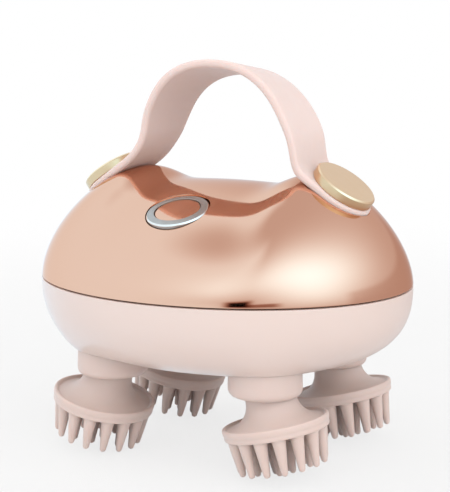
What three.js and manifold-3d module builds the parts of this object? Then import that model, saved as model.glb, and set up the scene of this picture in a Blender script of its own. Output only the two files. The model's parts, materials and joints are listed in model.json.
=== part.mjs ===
// Cordless scalp massager: a saddle-backed body under a hand strap, with four turning brush heads.
// Millimetres, +Z up, X along the strap, -Y towards the power button.
// Everything is laid out from the seam where the two shells meet (z = 0), and the whole
// object is lifted at the end so that the lowest bristle tips stand on z = 0.

import * as THREE from 'three';
import { mergeVertices } from 'three/addons/utils/BufferGeometryUtils.js';
import Module from 'manifold-3d';

const wasm = await Module();
wasm.setup();

// ---- driving dimensions -------------------------------------------------------------------

const GAP = 0.3;

const BODY_HALF_LENGTH = 60;
const BODY_HALF_WIDTH = 49.7;
const WALL = 2.2;
const SEAM_HALF_GAP = 0.15;

const DOME = { height: 41, reach: 2, rise: 1.7 };
const SADDLE = { depth: 10.8, halfWidth: 25.3, sharpness: 7.5, spread: 0.45, flatness: 0.65 };
const BOWL = { height: 25.2, reach: 4, rise: 2.6 };
const SWELLING = { x: 34, y: 33, radius: 10, share: 0.11 };

const STRAP_WIDTH = 21;
const STRAP_THICKNESS = 2.5;
const STRAP_SLOPE = THREE.MathUtils.degToRad(35);
const STRAP_SEAT = { x: 38.6, z: 27.5 };
const STRAP_END_REACH = 10.5;
const STRAP_BRANCH = {
  left: { liftOff: 10.5, shoulder: 22, lean: [-0.28, 0.96], twist: 0.13 },
  right: { liftOff: 9, shoulder: 27.4, lean: [-0.38, 0.925], twist: 0.05 },
};
const STRAP_SHOULDER_Z = 46;
const STRAP_CROWN_X = 1.5;
const STRAP_TOP = 67.6;
const STRAP_CROWN_FALL = 0.14;

const KNOB_RADIUS = 9.9;
const KNOB_THICKNESS = 2.8;
const STUD_RADIUS = 2.5;
const STUD_LENGTH = 12.5;

const BUTTON = { y: -27.5, z: 23.85, tilt: THREE.MathUtils.degToRad(19.5) };
const BEZEL_RADIUS = 9.5;
const CAP_RADIUS = 6.8;

const HEAD_X = 26.8;
const HEAD_Y = 22.6;
const HEAD_TILT = THREE.MathUtils.degToRad(12.3);
const HEAD_PIVOT_Z = -21.4;
const HUB_TOP_RADIUS = 10.7;
const HUB_RADIUS = 11.1;
const HUB_BOTTOM = -29.2;
const HUB_TOP = -17.6;
const SPIGOT_RADIUS = 3.6;
const NECK_RADIUS = 7.5;
const NECK_START = 5.5;
const FLANGE_RADIUS = 15.9;
const FLANGE_BOTTOM = 18.4;

const BRISTLE_BASE_RADIUS = 2.15;
const BRISTLE_TIP_RADIUS = 0.85;
const BRISTLE_LEAN = THREE.MathUtils.degToRad(4.5);
const BRISTLE_RINGS = [
  { count: 15, radius: 13.3, length: 11.3 },
  { count: 9, radius: 8.3, length: 12.4 },
  { count: 4, radius: 3.3, length: 13.2 },
];
const TIP_WEAR = 0.15;

const OUTPUT_TEETH = 14;
const DRIVE_TEETH = 20;
const STEP_TEETH = 10;
const WHEEL_TEETH = 30;
const PINION_TEETH = 8;
const GEAR_MODULE = 1.5;
const FINE_MODULE = 1;
const BACKLASH = 0.4;
const PRESSURE_ANGLE = THREE.MathUtils.degToRad(20);

const SHAFT_RADIUS = 3;
const PIN_RADIUS = 1.5;
const WELL_RADIUS = 11.45;
const WELL_ROOF = { bottom: -16.2, top: -14.2 };
const BASE_PLATE = { bottom: -13.9, top: -12.1, halfLength: 52.4, halfWidth: 42.9 };
const GEARS = { bottom: -11.7, top: -5.7 };
const WHEEL = { bottom: -5.3, top: -2.8 };
const COVER_PLATE = { bottom: -2.4, top: -0.6, halfLength: 54.9, halfWidth: 44.6 };
const CHASSIS_POSTS = [[-44, 0], [44, 0], [0, -32], [10, 38]];
const SCREW_TIP = -18.2;

const MOTOR = { radius: 12.2, bottom: -0.3, height: 20 };
const BATTERY = { radius: 7, length: 50, y: 25, z: 8.2 };
const PORT = { z: -7.5, halfWidth: 6.2, halfHeight: 2.9, face: 48.9 };

const massager = new THREE.Group();

// ---- materials ----------------------------------------------------------------------------

const FINISHES = {
  roseChrome: { color: 0xe8b89c, roughness: 0.08, metalness: 1 },
  blushShell: { color: 0xf0e1dc, roughness: 0.35, metalness: 0 },
  blushSilicone: { color: 0xd9bfb4, roughness: 0.7, metalness: 0 },
  strapSilicone: { color: 0xefe2df, roughness: 0.6, metalness: 0 },
  champagne: { color: 0xdcc39c, roughness: 0.3, metalness: 1 },
  satinRing: { color: 0xa8a49f, roughness: 0.4, metalness: 0.9 },
  blackRubber: { color: 0x2a2523, roughness: 0.8, metalness: 0 },
  steel: { color: 0xb5b7ba, roughness: 0.3, metalness: 1 },
  brass: { color: 0xc9a45c, roughness: 0.35, metalness: 1 },
  acetal: { color: 0xe9e7e0, roughness: 0.5, metalness: 0 },
  greyPlastic: { color: 0x6f7276, roughness: 0.6, metalness: 0 },
  board: { color: 0x1f5a3a, roughness: 0.5, metalness: 0 },
  cellWrap: { color: 0x3f6fa8, roughness: 0.4, metalness: 0 },
};

function addPart(name, geometry, finish, parent = massager) {
  const mesh = new THREE.Mesh(geometry, new THREE.MeshStandardMaterial(FINISHES[finish]));
  mesh.name = name;
  parent.add(mesh);
  return mesh;
}

// ---- solids -------------------------------------------------------------------------------

// A closed geometry as a manifold solid, with shared corners joined and slivers at poles dropped.
function toSolid(geometry) {
  const bare = geometry.clone();
  bare.deleteAttribute('normal');
  bare.deleteAttribute('uv');
  const merged = mergeVertices(bare, 1e-4);
  const index = merged.index.array;
  const triangles = [];
  for (let i = 0; i < index.length; i += 3) {
    const [a, b, c] = [index[i], index[i + 1], index[i + 2]];
    if (a !== b && b !== c && c !== a) triangles.push(a, b, c);
  }
  return new wasm.Manifold(new wasm.Mesh({
    numProp: 3,
    vertProperties: new Float32Array(merged.attributes.position.array),
    triVerts: new Uint32Array(triangles),
  }));
}

function toGeometry(solid) {
  const mesh = solid.getMesh();
  const geometry = new THREE.BufferGeometry();
  geometry.setAttribute('position', new THREE.BufferAttribute(new Float32Array(mesh.vertProperties), 3));
  geometry.setIndex(new THREE.BufferAttribute(new Uint32Array(mesh.triVerts), 1));
  geometry.computeVertexNormals();
  return geometry;
}

// Starts from one geometry, adds some, takes others away, and gives the result as a geometry.
function carve(base, { add = [], cut = [] }) {
  let solid = toSolid(base);
  for (const piece of add) solid = solid.add(toSolid(piece));
  for (const piece of cut) solid = solid.subtract(toSolid(piece));
  return toGeometry(solid);
}

// Turns an outline of [radius, z] points about the Z axis. The outline runs anticlockwise:
// up its outer side and down its inner side or axis.
function turned(outline, segments = 20) {
  const points = outline.map(([radius, z]) => new THREE.Vector2(radius, z));
  return new THREE.LatheGeometry(points, segments).rotateX(Math.PI / 2);
}

function disc(radius, bottom, top, segments = 20) {
  return turned([[0, bottom], [radius, bottom], [radius, top], [0, top]], segments);
}

function ring(inner, outer, bottom, top, segments = 12) {
  const outline = [[inner, bottom], [outer, bottom], [outer, top], [inner, top], [inner, bottom]];
  return turned(outline, segments);
}

function block(width, depth, bottom, top) {
  return new THREE.BoxGeometry(width, depth, top - bottom).translate(0, 0, (bottom + top) / 2);
}

function ellipticalPlate({ halfLength, halfWidth, bottom, top }, segments = 28) {
  return disc(1, bottom, top, segments).scale(halfLength, halfWidth, 1);
}

function sides() {
  return [['left', -1], ['right', 1]];
}

function corners() {
  return [
    ['front_left', -1, -1],
    ['front_right', 1, -1],
    ['back_right', 1, 1],
    ['back_left', -1, 1],
  ];
}

// ---- body shells --------------------------------------------------------------------------

function capHeight({ height, reach, rise }, share) {
  return height * Math.pow(Math.max(0, 1 - Math.pow(share, reach)), 1 / rise);
}

// How much height the finger saddle leaves the dome, as a share. The saddle widens towards
// the front and the back, and its floor evens out most of the dome's fall to the sides.
function saddleShare(x, y) {
  const across = Math.min(0.9, (x / BODY_HALF_LENGTH) ** 2);
  const along = (y / BODY_HALF_WIDTH) ** 2;
  const halfWidth = SADDLE.halfWidth * (1 + SADDLE.spread * along);
  const side = Math.pow(Math.abs(x) / halfWidth, SADDLE.sharpness);
  const evened = SADDLE.flatness * (Math.pow(1 - across, -1 / DOME.rise) - 1) * Math.max(0, 1 - along);
  const floor = (1 - SADDLE.depth / DOME.height) * (1 + evened);
  return 1 - (1 - floor) / (1 + side);
}

// How much fuller the bowl is just outside each hub, so that its curve covers the hub's top.
function swellingShare(x, y) {
  const apart = (Math.abs(x) - SWELLING.x) ** 2 + (Math.abs(y) - SWELLING.y) ** 2;
  return 1 + SWELLING.share * Math.exp(-apart / SWELLING.radius ** 2);
}

// One elliptical cap, closed by a flat face on the other side of the seam plane.
function capSolid(cap, inset, direction, closeAt, segments, rings) {
  const inner = { ...cap, height: cap.height - inset };
  const outline = [[0, -closeAt], [1, -closeAt]];
  for (let i = 0; i <= rings; i += 1) {
    const share = Math.cos((i / rings) * Math.PI / 2);
    outline.push([i === rings ? 0 : share, capHeight(inner, share)]);
  }
  const geometry = turned(outline, segments);
  geometry.scale(BODY_HALF_LENGTH - inset, BODY_HALF_WIDTH - inset, 1);
  if (direction < 0) geometry.rotateX(Math.PI);
  return geometry;
}

function pressSaddle(geometry) {
  const position = geometry.attributes.position;
  for (let i = 0; i < position.count; i += 1) {
    const z = position.getZ(i);
    if (z > 0) position.setZ(i, z * saddleShare(position.getX(i), position.getY(i)));
  }
  return geometry;
}

function swellBowl(geometry) {
  const position = geometry.attributes.position;
  for (let i = 0; i < position.count; i += 1) {
    const z = position.getZ(i);
    if (z < 0) position.setZ(i, z * swellingShare(position.getX(i), position.getY(i)));
  }
  return geometry;
}

// Places a geometry made about +Z on the sloping seat of one strap end.
function onStrapSeat(geometry, side) {
  return geometry.rotateY(side * STRAP_SLOPE).translate(side * STRAP_SEAT.x, 0, STRAP_SEAT.z);
}

function onButtonSeat(geometry) {
  return geometry.rotateX(BUTTON.tilt).translate(0, BUTTON.y, BUTTON.z);
}

function upperShell() {
  const outside = toSolid(pressSaddle(capSolid(DOME, 0, 1, 3, 40, 11)));
  const inside = toSolid(pressSaddle(capSolid(DOME, WALL, 1, 4, 28, 7)));
  let shell = outside.subtract(inside);
  for (const [, side] of sides()) {
    const boss = toSolid(onStrapSeat(disc(11, -5, 6, 16), side));
    shell = shell.add(boss.intersect(outside));
  }
  shell = shell.subtract(toSolid(block(140, 120, -10, SEAM_HALF_GAP)));
  const reach = STRAP_WIDTH / 2 + GAP;
  for (const [, side] of sides()) {
    const footprint = disc(reach, -GAP, 20, 20);
    const upSlope = block(16, 2 * reach, -GAP, 20).translate(-side * 8, 0, 0);
    shell = shell.subtract(toSolid(onStrapSeat(footprint, side)));
    shell = shell.subtract(toSolid(onStrapSeat(upSlope, side)));
    shell = shell.subtract(toSolid(onStrapSeat(disc(STUD_RADIUS + GAP, -20, 5, 10), side)));
  }
  shell = shell.subtract(toSolid(onButtonSeat(disc(BEZEL_RADIUS + GAP, -12, 8))));
  return toGeometry(shell);
}

function lowerShell() {
  const outside = toSolid(swellBowl(capSolid(BOWL, 0, -1, 3, 40, 8)));
  const inside = toSolid(swellBowl(capSolid(BOWL, WALL, -1, 4, 28, 5)));
  let shell = outside.subtract(inside);
  for (const [, sx, sy] of corners()) {
    const well = disc(WELL_RADIUS + 1.75, -30, WELL_ROOF.top).translate(sx * HEAD_X, sy * HEAD_Y, 0);
    shell = shell.add(toSolid(well).intersect(outside));
  }
  for (const [x, y] of CHASSIS_POSTS) {
    const post = disc(3.4, -24, WELL_ROOF.top, 8).translate(x, y, 0);
    shell = shell.add(toSolid(post).intersect(outside));
  }
  for (const [, sx, sy] of corners()) {
    const cavity = disc(WELL_RADIUS, -35, WELL_ROOF.bottom).translate(sx * HEAD_X, sy * HEAD_Y, 0);
    const bore = disc(5.2, -20, -10, 12).translate(sx * HEAD_X, sy * HEAD_Y, 0);
    shell = shell.subtract(toSolid(cavity)).subtract(toSolid(bore));
  }
  for (const [x, y] of CHASSIS_POSTS) {
    shell = shell.subtract(toSolid(disc(PIN_RADIUS + GAP, SCREW_TIP - GAP, 0, 8).translate(x, y, 0)));
  }
  shell = shell.subtract(toSolid(block(140, 120, -SEAM_HALF_GAP, 10)));
  const portHole = oblongPrism(PORT.halfWidth + GAP, PORT.halfHeight + GAP, 44, 60);
  shell = shell.subtract(toSolid(portHole));
  return toGeometry(shell);
}

function seamGasket() {
  const outer = ellipticalPlate({ halfLength: 56.8, halfWidth: 46.5, bottom: -2, top: 2 });
  const inner = ellipticalPlate({ halfLength: 55.6, halfWidth: 45.3, bottom: -3, top: 3 });
  return carve(outer, { cut: [inner] });
}

// ---- strap and its knobs ------------------------------------------------------------------

// One branch of the strap's middle line, from its end on the shoulder up to the crown, as
// points and tangents in the XZ plane. The left branch is drawn mirrored.
function strapBranchLine(name, side) {
  const branch = STRAP_BRANCH[name];
  const down = new THREE.Vector2(Math.cos(STRAP_SLOPE), -Math.sin(STRAP_SLOPE));
  const up = new THREE.Vector2(Math.sin(STRAP_SLOPE), Math.cos(STRAP_SLOPE));
  const seat = new THREE.Vector2(STRAP_SEAT.x, STRAP_SEAT.z).addScaledVector(up, STRAP_THICKNESS / 2);
  const end = seat.clone().addScaledVector(down, STRAP_END_REACH + 1);
  const liftOff = seat.clone().addScaledVector(down, -branch.liftOff);
  const shoulder = new THREE.Vector2(branch.shoulder, STRAP_SHOULDER_Z);
  const lean = new THREE.Vector2(...branch.lean);
  const crownZ = STRAP_TOP - (STRAP_THICKNESS + STRAP_CROWN_FALL * STRAP_WIDTH) / 2;
  const crown = new THREE.Vector2(side * STRAP_CROWN_X, crownZ);
  const path = new THREE.CurvePath();
  path.add(new THREE.LineCurve(end, liftOff));
  path.add(new THREE.CubicBezierCurve(
    liftOff,
    liftOff.clone().addScaledVector(down, -4.5),
    shoulder.clone().addScaledVector(lean, -5),
    shoulder,
  ));
  path.add(new THREE.CubicBezierCurve(
    shoulder,
    shoulder.clone().addScaledVector(lean, 11.5),
    new THREE.Vector2(crown.x + 14, crown.y),
    crown,
  ));
  const counts = [1, 6, 9];
  const line = [];
  path.curves.forEach((curve, k) => {
    for (let i = 0; i < counts[k]; i += 1) {
      line.push([curve.getPoint(i / counts[k]), curve.getTangent(i / counts[k])]);
    }
  });
  line.push([crown, new THREE.Vector2(-1, 0)]);
  return line;
}

// The two faces of one branch, seen edge on.
function strapBranchFaces(name, side) {
  const half = STRAP_THICKNESS / 2;
  const line = strapBranchLine(name, side);
  const outer = line.map(([p, t]) => new THREE.Vector2(side * (p.x + t.y * half), p.y - t.x * half));
  const inner = line.map(([p, t]) => new THREE.Vector2(side * (p.x - t.y * half), p.y + t.x * half));
  return { outer, inner };
}

// Lets the back edge of the strap hang a little lower than the front edge round the crown,
// and twists both branches a little to the right.
function twistStrap(geometry) {
  const { left, right } = STRAP_BRANCH;
  const position = geometry.attributes.position;
  for (let i = 0; i < position.count; i += 1) {
    const [x, y, z] = [position.getX(i), position.getY(i), position.getZ(i)];
    const risen = THREE.MathUtils.smoothstep(z, STRAP_SHOULDER_Z - 8, STRAP_SHOULDER_Z + 6);
    const crown = THREE.MathUtils.smoothstep(z, STRAP_SHOULDER_Z - 6, STRAP_TOP - 3);
    const twist = THREE.MathUtils.lerp(left.twist, right.twist, THREE.MathUtils.smoothstep(x, -20, 20));
    position.setX(i, x + twist * risen * y);
    position.setZ(i, z - STRAP_CROWN_FALL * crown * y);
  }
  return geometry;
}

function strapSolid() {
  const right = strapBranchFaces('right', 1);
  const left = strapBranchFaces('left', -1);
  const top = [...right.outer, ...left.outer.slice(0, -1).reverse()];
  const bottom = [...right.inner, ...left.inner.slice(0, -1).reverse()];
  const outline = new THREE.Shape([...top, ...bottom.reverse()]);
  const strip = new THREE.ExtrudeGeometry(outline, { depth: STRAP_WIDTH, bevelEnabled: false });
  strip.rotateX(Math.PI / 2).translate(0, STRAP_WIDTH / 2, 0);
  let strap = toSolid(twistStrap(strip));
  for (const [, side] of sides()) {
    const beyond = block(30, 40, -6, 6).translate(side * 15, 0, 0);
    const roundEnd = disc(STRAP_END_REACH, -8, 8);
    const corner = toSolid(onStrapSeat(beyond, side)).subtract(toSolid(onStrapSeat(roundEnd, side)));
    const studHole = toSolid(onStrapSeat(disc(STUD_RADIUS + GAP, -8, 8, 10), side));
    strap = strap.subtract(corner).subtract(studHole);
  }
  return toGeometry(strap);
}

function strapKnob(side) {
  const bottom = STRAP_THICKNESS + 0.2;
  const top = bottom + KNOB_THICKNESS;
  const stud = bottom - STUD_LENGTH;
  const outline = [
    [0, stud], [STUD_RADIUS, stud], [STUD_RADIUS, bottom], [KNOB_RADIUS - 0.3, bottom],
    [KNOB_RADIUS, bottom + 0.3], [KNOB_RADIUS, top - 0.7], [KNOB_RADIUS - 0.7, top], [0, top],
  ];
  return onStrapSeat(turned(outline), side);
}

function strapNut(side) {
  const nut = ring(STUD_RADIUS + 2 * GAP, 5, -8.6, -5.3, 6);
  return onStrapSeat(nut, side);
}

// ---- power button -------------------------------------------------------------------------

function buttonBezel() {
  return onButtonSeat(turned([
    [8.6, -10], [9, -10], [9, -6], [11.5, -6], [11.5, -4.9], [9.5, -4.9], [9.5, -0.4], [9.15, 0],
    [7, 0], [7, -3], [8.6, -3], [8.6, -10],
  ]));
}

function buttonCap() {
  return onButtonSeat(turned([
    [0, -5.9], [2, -5.9], [2, -4.4], [8.2, -4.4], [8.2, -3.4], [6.8, -3.4], [CAP_RADIUS, -0.3],
    [CAP_RADIUS - 0.25, -0.05], [0, -0.05],
  ]));
}

function buttonSwitch() {
  return onButtonSeat(carve(block(6, 6, -10, -7.5), { add: [disc(1.6, -8, -6.8, 8)] }));
}

function switchBoard() {
  return onButtonSeat(disc(8.9, -11.5, -10.3, 16));
}

// ---- gear train ---------------------------------------------------------------------------

// Straight-flanked teeth, thinned by the backlash, with one tooth centred on the phase angle.
function gearOutline(teeth, module, phase) {
  const pitch = teeth * module / 2;
  const tip = pitch + 0.8 * module;
  const root = pitch - 1.15 * module;
  const halfTooth = (radius) => {
    const width = Math.PI * module / 4 - BACKLASH / 2 + (pitch - radius) * Math.tan(PRESSURE_ANGLE);
    return width / radius;
  };
  const points = [];
  for (let k = 0; k < teeth; k += 1) {
    const middle = phase + (2 * Math.PI * k) / teeth;
    const corner = (radius, sign) => new THREE.Vector2(
      radius * Math.cos(middle + sign * halfTooth(radius)),
      radius * Math.sin(middle + sign * halfTooth(radius)),
    );
    points.push(corner(root, -1), corner(tip, -1), corner(tip, 1), corner(root, 1));
  }
  return points;
}

function spurGear(teeth, module, phase, bore, bottom, top) {
  const outline = new THREE.Shape(gearOutline(teeth, module, phase));
  outline.holes.push(new THREE.Path().absarc(0, 0, bore, 0, 2 * Math.PI, true));
  const options = { depth: top - bottom, bevelEnabled: false, curveSegments: 6 };
  return new THREE.ExtrudeGeometry(outline, options).translate(0, 0, bottom);
}

// The phase that puts a gear's tooth gap where its neighbour has a tooth, when the neighbour
// lies at the given direction seen from the gear that is already placed.
function meshedPhase(placed, direction, teeth) {
  const share = ((direction - placed.phase) * placed.teeth) / (2 * Math.PI);
  return direction + Math.PI - ((0.5 - share) * 2 * Math.PI) / teeth;
}

function gearCentres() {
  const driveRadius = (DRIVE_TEETH * GEAR_MODULE) / 2;
  const stepRadius = (STEP_TEETH * GEAR_MODULE) / 2;
  const wheelDistance = ((WHEEL_TEETH + PINION_TEETH) * FINE_MODULE) / 2;
  const stepDirection = THREE.MathUtils.degToRad(60);
  const driveLeft = new THREE.Vector2(-driveRadius, 0);
  const driveRight = new THREE.Vector2(driveRadius, 0);
  const reducer = new THREE.Vector2(Math.cos(stepDirection), Math.sin(stepDirection))
    .multiplyScalar(driveRadius + stepRadius)
    .add(driveLeft);
  const motor = reducer.clone().setLength(reducer.length() - wheelDistance);
  return { driveLeft, driveRight, reducer, motor };
}

const CENTRES = gearCentres();

function directionBetween(from, to) {
  return Math.atan2(to.y - from.y, to.x - from.x);
}

function addGearTrain() {
  const left = { teeth: DRIVE_TEETH, phase: 0 };
  const right = { teeth: DRIVE_TEETH, phase: meshedPhase(left, 0, DRIVE_TEETH) };
  const bore = PIN_RADIUS + GAP;
  for (const [name, centre, gear] of [
    ['drive_gear_left', CENTRES.driveLeft, left],
    ['drive_gear_right', CENTRES.driveRight, right],
  ]) {
    const teeth = spurGear(gear.teeth, GEAR_MODULE, gear.phase, bore, GEARS.bottom, GEARS.top);
    addPart(name, teeth, 'acetal').position.set(centre.x, centre.y, 0);
  }
  for (const [name, sx, sy] of corners()) {
    const placed = sx < 0 ? left : right;
    const from = sx < 0 ? CENTRES.driveLeft : CENTRES.driveRight;
    const direction = directionBetween(from, { x: sx * HEAD_X, y: sy * HEAD_Y });
    const phase = meshedPhase(placed, direction, OUTPUT_TEETH);
    const shaftBore = SHAFT_RADIUS + GAP;
    const teeth = spurGear(OUTPUT_TEETH, GEAR_MODULE, phase, shaftBore, GEARS.bottom, GEARS.top);
    addPart(`output_gear_${name}`, teeth, 'acetal').position.set(sx * HEAD_X, sy * HEAD_Y, 0);
  }
  const stepPhase = meshedPhase(left, directionBetween(CENTRES.driveLeft, CENTRES.reducer), STEP_TEETH);
  const wheel = { teeth: WHEEL_TEETH, phase: 0 };
  const step = spurGear(STEP_TEETH, GEAR_MODULE, stepPhase, bore, GEARS.bottom, WHEEL.bottom + 0.5);
  const disk = spurGear(WHEEL_TEETH, FINE_MODULE, wheel.phase, bore, WHEEL.bottom, WHEEL.top);
  const reducer = addPart('reduction_gear', carve(step, { add: [disk] }), 'acetal');
  reducer.position.set(CENTRES.reducer.x, CENTRES.reducer.y, 0);

  const pinionPhase = meshedPhase(wheel, directionBetween(CENTRES.reducer, CENTRES.motor), PINION_TEETH);
  const pinion = spurGear(PINION_TEETH, FINE_MODULE, pinionPhase, 1.3, WHEEL.bottom, WHEEL.top);
  addPart('motor_pinion', pinion, 'brass').position.set(CENTRES.motor.x, CENTRES.motor.y, 0);
  const shaft = addPart('motor_shaft', disc(1, WHEEL.bottom - 0.1, 6, 8), 'steel');
  shaft.position.set(CENTRES.motor.x, CENTRES.motor.y, 0);
}

function addGearPins() {
  const pin = () => disc(PIN_RADIUS, BASE_PLATE.bottom, COVER_PLATE.top, 8);
  for (const [name, centre] of [
    ['drive_pin_left', CENTRES.driveLeft],
    ['drive_pin_right', CENTRES.driveRight],
    ['reduction_pin', CENTRES.reducer],
  ]) {
    addPart(name, pin(), 'steel').position.set(centre.x, centre.y, 0);
  }
}

function plateHoles(plate, cornerRadius) {
  const low = plate.bottom - 12;
  const high = plate.top + 2;
  const hole = (radius, x, y) => disc(radius, low, high, radius > 4 ? 12 : 8).translate(x, y, 0);
  const holes = corners().map(([, sx, sy]) => hole(cornerRadius, sx * HEAD_X, sy * HEAD_Y));
  for (const centre of [CENTRES.driveLeft, CENTRES.driveRight, CENTRES.reducer]) {
    holes.push(hole(PIN_RADIUS + GAP, centre.x, centre.y));
  }
  for (const [x, y] of CHASSIS_POSTS) holes.push(hole(PIN_RADIUS + GAP, x, y));
  return holes;
}

function gearBase() {
  return carve(ellipticalPlate(BASE_PLATE), { cut: plateHoles(BASE_PLATE, 5.2) });
}

function gearCover() {
  const spacers = CHASSIS_POSTS.map(([x, y]) => (
    disc(3.2, BASE_PLATE.top + GAP, COVER_PLATE.bottom + 0.5, 8).translate(x, y, 0)
  ));
  const motorHole = disc(5, COVER_PLATE.bottom - 1, COVER_PLATE.top + 1, 12)
    .translate(CENTRES.motor.x, CENTRES.motor.y, 0);
  return carve(ellipticalPlate(COVER_PLATE), {
    add: spacers,
    cut: [...plateHoles(COVER_PLATE, SHAFT_RADIUS + GAP), motorHole],
  });
}

function chassisScrew() {
  return turned([
    [0, SCREW_TIP], [PIN_RADIUS, SCREW_TIP], [PIN_RADIUS, -0.3], [2.8, -0.3], [2.8, 0.9],
    [2.2, 1.5], [0, 1.5],
  ], 8);
}

// ---- motor and electronics ----------------------------------------------------------------

function motorCan() {
  const { radius, bottom, height } = MOTOR;
  const can = turned([
    [0, bottom + 7], [1.4, bottom + 7], [1.4, bottom - 0.9], [3.8, bottom - 0.9], [3.8, bottom],
    [radius - 0.6, bottom], [radius, bottom + 0.6], [radius, bottom + height - 0.6],
    [radius - 0.6, bottom + height], [4, bottom + height], [4, bottom + height + 1],
    [0, bottom + height + 1],
  ], 16);
  return can.translate(CENTRES.motor.x, CENTRES.motor.y, 0);
}

function batteryCell() {
  const { radius, length } = BATTERY;
  const cell = turned([
    [0, -length / 2], [radius - 0.5, -length / 2], [radius, -length / 2 + 0.5],
    [radius, length / 2 - 1.7], [radius - 0.5, length / 2 - 1.2], [2.7, length / 2 - 1.2],
    [2.7, length / 2], [0, length / 2],
  ], 14);
  return cell.rotateY(Math.PI / 2).translate(0, BATTERY.y, BATTERY.z);
}

function batteryTray() {
  const { radius, length, y, z } = BATTERY;
  const cradle = block(length + 4, 2 * radius + 0.8, -0.3, 6).translate(0, y, 0);
  const room = disc(radius + GAP, -length / 2 - GAP, length / 2 + GAP, 14).rotateY(Math.PI / 2);
  return carve(cradle, { cut: [room.translate(0, y, z)] });
}

function controlBoard() {
  const board = block(40, 15, 0.6, 1.8).translate(0, -21.1, 0);
  const chips = [
    block(7, 7, 1.5, 3.2).translate(-9, -21, 0),
    block(4, 5, 1.5, 2.9).translate(3, -22, 0),
    block(8, 4, 1.5, 5).translate(13, -20, 0),
  ];
  return carve(board, { add: chips });
}

// A prism with round ends, lying along Y, centred on the charging port.
function oblongPrism(halfWidth, halfHeight, front, back) {
  const straight = halfWidth - halfHeight;
  const outline = new THREE.Shape()
    .absarc(straight, 0, halfHeight, -Math.PI / 2, Math.PI / 2, false)
    .absarc(-straight, 0, halfHeight, Math.PI / 2, (3 * Math.PI) / 2, false);
  const options = { depth: back - front, bevelEnabled: false, curveSegments: 4 };
  const prism = new THREE.ExtrudeGeometry(outline, options);
  return prism.rotateX(-Math.PI / 2).translate(0, front, PORT.z);
}

function chargeSocket() {
  return carve(oblongPrism(5, 2.15, 40.5, 47), { cut: [oblongPrism(4.5, 1.65, 41.5, 50)] });
}

function chargePlug() {
  return carve(oblongPrism(PORT.halfWidth, PORT.halfHeight, 47.3, PORT.face), {
    add: [oblongPrism(4.2, 1.35, 42.5, 48)],
  });
}

// ---- brush drives and heads ---------------------------------------------------------------

// The frame of one head: its Z axis runs up along the tilted neck, from the pivot on the shaft.
function tilted(geometry, sx, sy) {
  return geometry.rotateY(-sx * HEAD_TILT).translate(sx * HEAD_X, sy * HEAD_Y, HEAD_PIVOT_Z);
}

function outputShaft(sx, sy) {
  return disc(SHAFT_RADIUS, HUB_TOP - 4, -1, 12).translate(sx * HEAD_X, sy * HEAD_Y, 0);
}

// A cup that turns on the upright shaft and holds the head's tilted spigot in its underside.
function spinHub(sx, sy) {
  const round = 2.6;
  const outline = [[0, HUB_BOTTOM], [HUB_RADIUS - round, HUB_BOTTOM]];
  for (let i = 1; i <= 3; i += 1) {
    const angle = (i / 3) * Math.PI / 2;
    outline.push([
      HUB_RADIUS - round + round * Math.sin(angle),
      HUB_BOTTOM + round - round * Math.cos(angle),
    ]);
  }
  outline.push([HUB_TOP_RADIUS, HUB_TOP], [0, HUB_TOP]);
  const cup = turned(outline, 18).translate(sx * HEAD_X, sy * HEAD_Y, 0);
  const shaftBore = disc(SHAFT_RADIUS + GAP, HUB_TOP - 4 - GAP, -10, 12)
    .translate(sx * HEAD_X, sy * HEAD_Y, 0);
  const pocket = tilted(disc(NECK_RADIUS + 0.4, -30, -NECK_START + GAP), sx, sy);
  const spigot = tilted(turned([
    [0, -14.6], [SPIGOT_RADIUS - 0.5, -14.6], [SPIGOT_RADIUS, -14.1],
    [SPIGOT_RADIUS, -NECK_START + 1], [0, -NECK_START + 1],
  ], 10), sx, sy);
  const solid = toSolid(cup).subtract(toSolid(pocket)).subtract(toSolid(shaftBore));
  return toGeometry(solid.add(toSolid(spigot)));
}

function brushCore(sx, sy) {
  const bore = SPIGOT_RADIUS + GAP;
  return tilted(turned([
    [0, -16.2], [9.5, -16.2], [9.5, -14.6], [6, -14.6], [6, -NECK_START - 0.1],
    [bore, -NECK_START - 0.1], [bore, -15], [0, -15],
  ], 10), sx, sy);
}

function bristle(ringSpec, angle) {
  const { radius, length } = ringSpec;
  const cone = turned([
    [0, -length], [BRISTLE_TIP_RADIUS, -length], [BRISTLE_BASE_RADIUS, 0.8], [0, 0.8],
  ], 4);
  return cone
    .rotateY(BRISTLE_LEAN)
    .translate(radius, 0, -FLANGE_BOTTOM)
    .rotateZ(angle);
}

// The silicone brush: a hollow neck that flares into a rimmed plate, with rings of bristles.
function brushHead(sx, sy) {
  const plate = turned([
    [0, -FLANGE_BOTTOM], [15.1, -FLANGE_BOTTOM], [FLANGE_RADIUS, -17.6], [FLANGE_RADIUS, -16.3],
    [15.1, -15.5], [10.6, -14.1], [8.2, -12], [NECK_RADIUS, -9.2],
    [NECK_RADIUS, -NECK_START], [6.3, -NECK_START], [6.3, -14.3], [9.8, -14.3], [9.8, -16.5],
    [0, -16.5],
  ], 16);
  let solid = toSolid(plate);
  const inward = sx < 0 ? 0 : Math.PI;
  for (const spec of BRISTLE_RINGS) {
    for (let k = 0; k < spec.count; k += 1) {
      solid = solid.add(toSolid(bristle(spec, inward + (2 * Math.PI * k) / spec.count)));
    }
  }
  return tilted(toGeometry(solid), sx, sy);
}

function trimTips(geometry, floor) {
  return carve(geometry, { cut: [block(200, 200, floor - 20, floor)] });
}

// ---- assembly -----------------------------------------------------------------------------

addPart('upper_shell', upperShell(), 'roseChrome');
addPart('lower_shell', lowerShell(), 'blushShell');
addPart('seam_gasket', seamGasket(), 'blackRubber');

addPart('strap', strapSolid(), 'strapSilicone');
for (const [name, side] of sides()) {
  addPart(`strap_knob_${name}`, strapKnob(side), 'champagne');
  addPart(`strap_nut_${name}`, strapNut(side), 'steel');
}

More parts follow.
